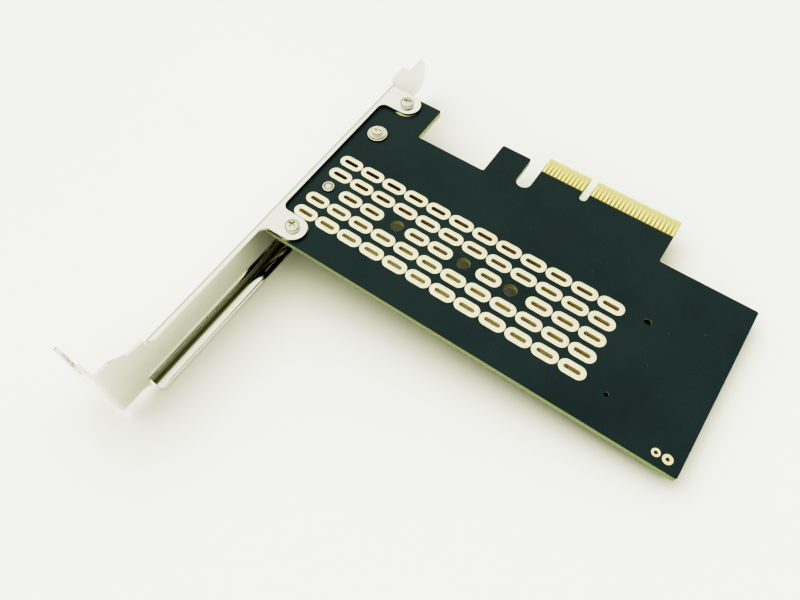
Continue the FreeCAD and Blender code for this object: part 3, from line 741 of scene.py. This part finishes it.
def dome_profile(r, h):
    """A low dome on a short rim."""
    steps = [math.radians(a) for a in range(0, 90, 9)]
    arc = [(r * math.cos(a), 0.42 * h + 0.58 * h * math.sin(a)) for a in steps]
    return [(0, 0), (r * 0.94, 0)] + arc + [(0, h)]


def pan_profile(r, h):
    return [(0, 0), (r * 0.98, 0), (r, 0.12), (r, h - 0.28), (r - 0.08, h - 0.12), (r - 0.26, h - 0.02),
            (r * 0.5, h), (0, h)]


EAR_X, EAR_Y, EAR_TOP = 0.45, 23.6, 0.85
SPARE_X, SPARE_Y, SPARE_TOP = -0.35, 11.42, 0.75
POST_X, POST_END = -0.26, -4.05
for node, side, angle in (("ear_screw_upper", 1, 20), ("ear_screw_lower", -1, -5)):
    part = screw(node + "_dressed", dome_profile(1.8, 1.3), 2.0, 0.75, angle, 1.2, 0.45, 4.85)
    finish(part, SCREW, [node], (EAR_X, side * EAR_Y, EAR_TOP))

part = screw("spare_screw", pan_profile(1.5, 0.9), 1.86, 0.5, 15, 0.98, 0.4, 3.2)
finish(part, SCREW, ["storage_screw"], (SPARE_X, SPARE_Y, SPARE_TOP))

part = screw("drive_screw", pan_profile(1.8, 0.8), 2.0, 0.45, 30, 0.98, 0.4, 4.5)
tip = lathe([(0, 4.3), (0.93, 4.3), (0.93, 4.50), (0.85, 4.60), (0.55, 4.72), (0, 4.77)], 32)
tip.transform(MIRROR)
part.data = join([part.data, outward(tip)], "drive_screw")
part.data.transform(Matrix.Translation((POST_X, DRIVE_Y, POST_END)) @ Matrix.Rotation(math.pi, 4, "X"))
finish(part, SCREW, ["module_screw"])

# %% [markdown]
# ## Nuts and the standoff
# The flanged spare nut and the drive's standoff are lathed with their bores. The hexagon nuts start as a
# six-sided bar, and their corners are turned off by keeping only what lies inside a chamfered disc.

# %% Nuts and standoff
NUT_ACROSS, NUT_H, NUT_BORE = 5.0, 2.0, 1.2


def hexagon_nut(name):
    r = NUT_ACROSS / math.sqrt(3)
    around = [math.radians(60 * k) for k in range(6)]
    verts = [(r * math.cos(a), r * math.sin(a), z) for z in (0, NUT_H) for a in around]
    faces = [(5, 4, 3, 2, 1, 0), (6, 7, 8, 9, 10, 11)]
    faces += [(k, (k + 1) % 6, 6 + (k + 1) % 6, 6 + k) for k in range(6)]
    hexagon = new_object(name, to_mesh(verts, faces, smooth=False))
    disc = [(0, -0.01), (r * 0.86, -0.01), (r * 1.02, 0.35), (r * 1.02, NUT_H - 0.35),
            (r * 0.86, NUT_H + 0.01), (0, NUT_H + 0.01)]
    boolean(hexagon, lathe(disc, 60), "INTERSECT")
    bore = [(0, -1), (NUT_BORE, -1), (NUT_BORE, NUT_H + 1), (0, NUT_H + 1)]
    boolean(hexagon, lathe(bore, 40), "DIFFERENCE")
    return soften(hexagon, 0.04, 1, 25)


for node, side in (("ear_nut_upper", 1), ("ear_nut_lower", -1)):
    part = hexagon_nut(node + "_dressed")
    finish(part, SCREW, [node], (EAR_X, side * EAR_Y, -BOARD_T - NUT_H))

spare_nut = new_object("spare_nut", lathe([
    (1.0, -2.8), (1.55, -2.8), (1.55, 0.05), (2.55, 0.05), (2.55, 0.34), (2.46, 0.41), (2.22, 0.43),
    (2.14, 0.68), (2.04, 0.75), (1.0, 0.75)], 56, bore=True))
finish(soften(spare_nut, 0.03, 1, 25), SCREW, ["storage_nut"], (SPARE_X, SPARE_Y, 0))

post = new_object("drive_standoff", lathe([
    (1.0, -4.05), (2.4, -4.05), (2.5, -3.95), (2.5, -1.6), (1.55, -1.6), (1.55, 0.30), (1.47, 0.46),
    (1.32, 0.57), (1.16, 0.60), (1.04, 0.52), (1.0, 0.30), (1.0, -3.9)], 56, bore=True))
finish(soften(post, 0.03, 1, 25), SCREW, ["standoff"], (POST_X, DRIVE_Y, 0))

# %% [markdown]
# ## What stays as the CAD made it
# The socket's solder tails, its hold-downs and the bodies of the chip parts have the right shape already.
# They only need their finishes.

# %% Give the rest its finishes
for node, mat in (("socket_contacts_front", TIN), ("socket_contacts_rear", TIN), ("socket_hold_downs", TIN),
                  ("bulk_capacitors", CERAMIC), ("decoupling_capacitors", CERAMIC),
                  ("resistors", GLAZE), ("status_lamp", RESIN)):
    paint(frame["nodes"][node].data, mat)
print("finishes set")

# %% [markdown]
# ## Tinned ends, fillets and pads
# Each chip part is a plain bar in the CAD model. A real one has tinned ends that wrap round it, and solder
# that climbs each end from its pad. The bars are found by taking a CAD mesh apart into its loose pieces, and
# the longer side of each piece tells which way it lies, so no place has to be typed in again.

# %% Find the chips and solder their ends
def loose_boxes(node):
    """The box of each loose piece of a CAD node, in board millimetres."""
    bm = bmesh.new()
    bm.from_mesh(frame["nodes"][node].data)
    bm.transform(BOARD.inverted())
    bmesh.ops.remove_doubles(bm, verts=bm.verts, dist=1e-4)
    bm.verts.index_update()
    seen = set()
    boxes = []
    for start in bm.verts:
        if start.index in seen:
            continue
        seen.add(start.index)
        waiting, corners = [start], []
        while waiting:
            v = waiting.pop()
            corners.append(tuple(v.co))
            for w in [e.other_vert(v) for e in v.link_edges]:
                if w.index not in seen:
                    seen.add(w.index)
                    waiting.append(w)
        boxes.append((Vector(map(min, zip(*corners))), Vector(map(max, zip(*corners)))))
    bm.free()
    return sorted(boxes, key=lambda b: (round(b[0].x, 2), round(b[0].y, 2)))


def slab(section, y0, y1):
    """A closed bar with the given (x, z) section, from y0 to y1."""
    n = len(section)
    verts = [(x, y, z) for y in (y0, y1) for x, z in section]
    faces = [tuple(range(n)), tuple(reversed(range(n, 2 * n)))] + strips(2, n)
    return outward(to_mesh(verts, faces, smooth=False))


def solder_end(length, width, height):
    """One end of a chip part along +x, standing on z = 0: tin wrap, concave fillet and pad."""
    end, skin, reach = length / 2 + 0.03, 0.03, 0.40
    inner, outer = end - 0.22 * length, end + reach
    top = height + skin
    half = width / 2 + skin
    wrap = [(inner, 0.04), (end, 0.04), (end, top - 0.09), (end - 0.09, top), (inner, top)]
    fillet = [(end - 0.02, 0.03), (outer, 0.03), (end + 0.24, 0.08), (end + 0.12, 0.20 * height),
              (end + 0.05, 0.42 * height), (end - 0.02, 0.66 * height)]
    pad = [(inner - 0.12, -0.01), (outer + 0.08, -0.01), (outer + 0.08, 0.035), (inner - 0.12, 0.035)]
    return [slab(section, -half - wider, half + wider)
            for section, wider in ((wrap, 0.0), (fillet, -0.05), (pad, 0.08))]


CHIPS = []
for node in ("bulk_capacitors", "decoupling_capacitors", "resistors", "status_lamp"):
    CHIPS += loose_boxes(node)
DOWN = Matrix.Translation((0, 0, -BOARD_T)) @ MIRROR
ends = []
for low, high in CHIPS:
    size, middle = high - low, (low + high) / 2
    along_x = size.x > size.y
    length, width = (size.x, size.y) if along_x else (size.y, size.x)
    for half_turn in (0.0, math.pi):
        spin = Matrix.Rotation(half_turn + (0.0 if along_x else math.pi / 2), 4, "Z")
        for mesh in solder_end(length, width, size.z):
            mesh.transform(DOWN @ Matrix.Translation((middle.x, middle.y, 0)) @ spin)
            ends.append(outward(mesh))
chip_solder = new_object("chip_ends_and_fillets", join(ends, "chip_ends_and_fillets"))
finish(soften(chip_solder, 0.02, 1, 50), TIN)
print("chips", len(CHIPS))

# %% [markdown]
# ## The socket's small detail
# The housing is a moulding: its edges are softened, two shallow ejector marks sit on its flat back and a comb
# of ribs keeps the rear tails apart. Inside the mouth are two rows of sprung contacts. One beam and one rib
# are drawn, and the row tree repeats them. The beams leave the key's gap.

# %% Socket body, ribs, beams and pads
SOCKET_X0, SOCKET_X1, SOCKET_BACK, MOUTH_Z = 76.2, 84.6, -5.8, -4.45
FIRST_Y = DRIVE_Y - 9.0
CONTACT_PITCH, CONTACTS, KEY_PLACES = 0.5, 37, (29, 32)
dimples = []
for y in (DRIVE_Y - 6.5, DRIVE_Y + 6.5):
    dimples.append(lathe([(0, -0.2), (0.75, -0.2), (0.75, 0.06), (0, 0.06)], 32))
    dimples[-1].transform(Matrix.Translation((80.6, y, SOCKET_BACK)))
body = softened_copy("socket_body", "socket_housing", 0.07, dimples)
finish(body, MOULDING, ["socket_housing"])


def socket_row(name, mesh, start, mat, count=CONTACTS, skip=KEY_PLACES):
    """One bar repeated across the socket, less the places of the key."""
    shape = new_object("shape", mesh)
    row = grow(name, ROW_TREE, Shape=shape, Count=count, Start=start, Step=(0.0, CONTACT_PITCH, 0.0),
               Key_After=99, Skip_From=skip[0], Skip_To=skip[1], Material=mat)
    bpy.data.objects.remove(shape)
    finish(row, mat)


rib = slab([(-0.7, 0.0), (0.7, 0.0), (0.7, -1.05), (-0.7, -1.05)], -0.09, 0.09)
rib_start = (SOCKET_X1 - 0.85, FIRST_Y - CONTACT_PITCH / 2, -1.76)
socket_row("socket_ribs", rib, rib_start, MOULDING, CONTACTS + 1, (-1, -1))
arch = [(-1.7, 0.46), (1.7, 0.46), (1.7, 0.36), (0.2, 0.30), (-0.9, 0.12), (-1.5, 0.20), (-1.7, 0.34)]
for name, side in (("beams_upper", 1), ("beams_lower", -1)):
    beam = slab(arch, -0.11, 0.11)
    beam.transform(Matrix.Scale(side, 4, (0, 0, 1)))
    beam_start = (SOCKET_X0 + 2.7, FIRST_Y + 0.12 * side, MOUTH_Z)
    socket_row(name, outward(beam), beam_start, FINGER)
for name, x in (("tail_pads_front", SOCKET_X0 - 0.75), ("tail_pads_rear", SOCKET_X1 + 0.75)):
    pad = slab([(-0.55, 0.0), (0.55, 0.0), (0.50, -0.05), (-0.50, -0.05)], -0.15, 0.15)
    socket_row(name, pad, (x, FIRST_Y, -BOARD_T), TIN)

# %% [markdown]
# ## Tracks and tented vias
# Copper under the mask shows as a slightly raised, slightly paler line. The lanes leave the fingers in pairs,
# pass the small capacitors and turn to the socket's rear tails. A track is a flat ribbon with mitred corners.
# Tented vias are low bumps with a dimple where the mask sags into the hole.

# %% Tracks and vias
COVERED = moulded("mask_over_copper", (0.032, 0.056, 0.068), (0.042, 0.068, 0.078), 0.30, 0.4)
TRACK_T, LANE_W, POWER_W = 0.03, 0.16, 0.9


def ribbon(corners, width):
    """A flat strip along a line of (x, y) corners on the component side."""
    spots = [Vector(c) for c in corners]
    verts = []
    for i, spot in enumerate(spots):
        before = (spot - spots[i - 1]).normalized() if i else (spots[1] - spot).normalized()
        after = (spots[i + 1] - spot).normalized() if i < len(spots) - 1 else before
        mean = (before + after).normalized()
        out = Vector((-mean.y, mean.x))
        side = out * (width / 2 / max(0.4, out.dot(Vector((-before.y, before.x)))))
        for shift, z in ((side, 0.0), (-side, 0.0), (-side * 0.85, -TRACK_T), (side * 0.85, -TRACK_T)):
            verts.append((spot.x + shift.x, spot.y + shift.y, -BOARD_T + 0.002 + z))
    faces = [(0, 1, 2, 3), tuple(4 * (len(spots) - 1) + k for k in (3, 2, 1, 0))] + strips(len(spots), 4)
    return outward(to_mesh(verts, faces, smooth=False))


def lane_tracks(lane, leg):
    """One leg of a lane's pair: from its finger to its capacitor, and on round the socket to a tail."""
    x = 56.85 + 2.6 * lane + 0.3 * leg
    finger_x = 55.75 + 4.0 * lane + leg
    level = 6.4 + 1.0 * lane - 0.32 * leg
    far = 85.9 + 0.36 * lane - 0.18 * leg
    goal = -0.9 - 2.0 * lane + 0.5 * leg
    above = [(finger_x, 24.4), (finger_x, 22.6 - 0.4 * lane), (x, 20.0 - 0.4 * lane), (x, 14.6)]
    below = [(x, 12.2), (x, level + 0.6), (x + 0.6, level), (far - 1.0, level), (far, level - 1.0),
             (far, goal + 0.4), (far - 0.4, goal), (SOCKET_X1 + 1.0, goal)]
    return [ribbon(above, LANE_W), ribbon(below, LANE_W)]


def power_tracks(k):
    """A wide track from the fingers to a large capacitor, and on along the board."""
    x, level = 44.0 + 3.4 * k, 6.8 - 1.3 * k
    above = [(x, 24.4 if k < 2 else 21.0), (x, 14.9)]
    below = [(x, 10.3), (x, level + 1.0), (x - 1.0, level), (30.0 + 3.4 * k, level)]
    return [ribbon(above, POWER_W), ribbon(below, POWER_W)]


tracks = []
for lane in range(4):
    for leg in (0, 1):
        tracks += lane_tracks(lane, leg)
for k in range(3):
    tracks += power_tracks(k)
finish_set("covered_tracks", tracks, COVERED)


def via(x, y, z, flip):
    bump = lathe([(0, 0), (0.36, 0), (0.30, 0.022), (0.17, 0.030), (0.10, 0.012), (0, 0.008)], 20)
    bump.transform(Matrix.Translation((x, y, z)) @ Matrix.Scale(flip, 4, (0, 0, 1)))
    return outward(bump)


bumps = []
for x, y in [(62.2, 5.8), (62.7, 8.7), (67.6, 12.8), (82.4, 0.6), (88.8, 4.8), (81.7, -8.6)]:
    bumps += [via(x, y, -0.001, 1), via(x, y, -BOARD_T + 0.001, -1)]
for k in range(22):
    bumps.append(via(41.2 + 1.45 * k, 20.6 + 0.5 * (k % 2) - 1.9 * (k == 7), -BOARD_T + 0.001, -1))
finish_set("tented_vias", bumps, COVERED)

# %% [markdown]
# ## Printed outlines
# White ink marks where parts sit: a frame round each chip part, the drive's two long sides and a ring at each
# of its three open fixing holes. It is matt and thin, and it carries no words. The copper round those holes
# and round the lamp's two lead holes is added here too, as flat rings.

# %% Ink lines and hole rings
INK = moulded("white_ink", (0.80, 0.80, 0.76), (0.70, 0.70, 0.66), 0.62, 0.25)
INK_T, INK_LINE, FRAME_LINE, LAND_T = 0.012, 0.15, 0.12, 0.03
DRIVE_HALF, LAMP_Y = 11.3, -24.56
HOLE_XS = [HOLE_2260.x + 60 - drive for drive in (60, 42, 30)]


def ink_bar(x0, x1, y0, y1):
    low, high = -BOARD_T - INK_T, -BOARD_T + 0.002
    return slab([(x0, low), (x1, low), (x1, high), (x0, high)], y0, y1)


def ink_frame(x0, x1, y0, y1, line):
    return [ink_bar(x0, x1, y0, y0 + line), ink_bar(x0, x1, y1 - line, y1),
            ink_bar(x0, x0 + line, y0 + line, y1 - line), ink_bar(x1 - line, x1, y0 + line, y1 - line)]


def flat_ring(x, y, inner, outer, high, low, steps):
    ring = lathe([(inner, high), (outer, high), (outer, low), (inner, low)], steps, bore=True)
    ring.transform(Matrix.Translation((x, y, -BOARD_T)))
    return ring


ink = []
for low, high in CHIPS:
    along_x = high.x - low.x > high.y - low.y
    wide, tall = (0.75, 0.3) if along_x else (0.3, 0.75)
    ink += ink_frame(low.x - wide, high.x + wide, low.y - tall, high.y + tall, FRAME_LINE)
for side in (1, -1):
    y = DRIVE_Y + side * DRIVE_HALF
    ink.append(ink_bar(3.2, 75.3, y - INK_LINE / 2, y + INK_LINE / 2))
ink += [flat_ring(x, DRIVE_Y, 2.35, 2.35 + INK_LINE, 0.002, -INK_T, 48) for x in HOLE_XS]
finish_set("ink_outlines", ink, INK)

rings = [flat_ring(x, DRIVE_Y, 1.66, 2.1, 0.0, -LAND_T, 40) for x in HOLE_XS]
rings += [flat_ring(x, LAMP_Y, 0.42, 0.95, 0.0, -LAND_T, 40) for x in (90.64, 93.05)]
finish_set("hole_lands", rings, LAND)

# %% [markdown]
# ## Floor, light and camera
# The card lies on a pale seamless table under soft light. A wide, weak sun from the left gives the broad soft
# shadow. The world is a pale tent that is bright overhead and dark near the horizon, so the folds of the
# metal have something dark to mirror. The floor is part of the stage, not of the card.

# %% Stage
FLOOR_HALF, SWEEP_Y, SWEEP_R = 2.2, 1.2, 1.4
SKY_HIGH, SKY_LOW, SKY_SLOPE, SKY_DIM, BACKDROP = 0.87, 0.12, 0.10, 0.6, 0.86
SUN_WAY, SUN_STRENGTH, SUN_SPREAD = (0.35, -0.05, -0.93), 1.02, 60


def stage_floor():
    """A flat table that curves up behind the card, so no horizon shows."""
    rows = [(-FLOOR_HALF, 0.0), (SWEEP_Y, 0.0)]
    for a in [math.radians(a) for a in range(6, 91, 6)]:
        rows.append((SWEEP_Y + SWEEP_R * math.sin(a), SWEEP_R * (1 - math.cos(a))))
    verts = [(x, y, z) for y, z in rows for x in (-FLOOR_HALF, FLOOR_HALF)]
    faces = [(2 * i, 2 * i + 1, 2 * i + 3, 2 * i + 2) for i in range(len(rows) - 1)]
    floor = new_object("floor", to_mesh(verts, faces))
    mat, shader, p = material("pale_table", (0.87, 0.875, 0.868), 0.0, 0.55)
    tint = mix_colour(use(MOTTLE, p, Size=120.0), (0.865, 0.872, 0.864), (0.878, 0.885, 0.876))
    feed(tint, shader["Base Color"])
    floor.data.materials.append(mat)


def soft_sun():
    """A wide, weak sun: it only shades diffuse surfaces, so no hard spot shows in the metal."""
    data = bpy.data.lights.new("window", "SUN")
    data.energy = SUN_STRENGTH
    data.angle = math.radians(SUN_SPREAD)
    data.color = (1.0, 0.995, 0.98)
    lamp = new_object("window", data)
    lamp.rotation_euler = Vector(SUN_WAY).to_track_quat("-Z", "Y").to_euler()
    lamp.visible_glossy = False


def studio_world():
    """A pale tent: brighter towards the bracket, with a dim strip low down on the viewer's side."""
    world = bpy.data.worlds.new("studio")
    bpy.context.scene.world = world
    world.use_nodes = True
    tree = world.node_tree
    sky = tree.nodes["Background"]
    x, y, z = split(tree.nodes.new("ShaderNodeTexCoord").outputs["Generated"])
    rise = times(ramp(z, 0.08, 0.68), SKY_HIGH - SKY_LOW)
    side = minus(plus(rise, SKY_LOW), times(x, SKY_SLOPE))
    low = ramp(z, 0.05, 0.40, invert=True)
    near = ramp(minus(times(x, 0.5), y), -0.2, 0.7)
    dim = times(times(low, near), SKY_DIM)
    seen = tree.nodes.new("ShaderNodeMix")
    camera_ray = tree.nodes.new("ShaderNodeLightPath").outputs["Is Camera Ray"]
    for value, i in ((camera_ray, 0), (times(side, minus(1.0, dim)), 2), (BACKDROP, 3)):
        feed(value, seen.inputs[i])
    feed(seen.outputs[0], sky.inputs["Strength"])
    sky.inputs["Color"].default_value = (1.0, 1.0, 0.985, 1.0)


def tone_curve(channel, corners):
    """Draws one curve of the view's tone mapping; channel 3 acts on all colours, 2 on blue alone."""
    view = bpy.context.scene.view_settings
    view.use_curve_mapping = True
    curve = view.curve_mapping.curves[channel]
    curve.points[0].location = corners[0]
    curve.points[-1].location = corners[-1]
    for corner in corners[1:-1]:
        curve.points.new(*corner)
    view.curve_mapping.update()
    return len(curve.points)


CRISP = ((0.0, 0.0), (0.045, 0.006), (0.09, 0.045), (0.188, 0.20), (0.305, 0.42), (0.456, 0.61),
         (0.644, 0.755), (0.84, 0.862), (1.0, 0.922))
WARM_MIDDLE = ((0.0, 0.0), (0.03, 0.0285), (0.2, 0.155), (0.5, 0.405), (0.6, 0.515), (0.75, 0.676),
               (0.87, 0.812), (1.0, 0.94))
stage_floor()
soft_sun()
studio_world()
bpy.context.scene.view_settings.view_transform = "Standard"
bpy.context.scene.view_settings.look = "None"
print("tone curve points", tone_curve(3, CRISP), tone_curve(2, WARM_MIDDLE))

# %% [markdown]
# ## The camera
# The camera stands above the long edge and looks down across the card. Its place and its three directions
# are written in the board's axes, so it stays true to the card however the card lies.

# %% Camera
SENSOR, LENS, LENS_SHIFT = 36.0, 30.89, (0.0294, -0.0058)
CAMERA_PLACE = (70.629, -86.957, 130.071)
CAMERA_RIGHT, CAMERA_DOWN = Vector((0.81608, 0.57785, -0.01012)), Vector((0.49738, -0.71114, -0.49689))
CAMERA_FORWARD = Vector((-0.29432, 0.40047, -0.86776))


def card_camera():
    data = bpy.data.cameras.new("camera")
    data.sensor_width = SENSOR
    data.lens = LENS
    data.shift_x, data.shift_y = LENS_SHIFT
    data.clip_start, data.clip_end = 0.01, 20.0
    axes = Matrix((CAMERA_RIGHT, -CAMERA_DOWN, -CAMERA_FORWARD)).transposed().to_4x4()
    camera = new_object("camera", data)
    camera.matrix_world = Matrix.Translation(BOARD @ Vector(CAMERA_PLACE)) @ turn @ axes
    bpy.context.scene.camera = camera
    return camera


camera = card_camera()
print("camera at", [round(v * 1000) for v in camera.matrix_world.translation], "mm")
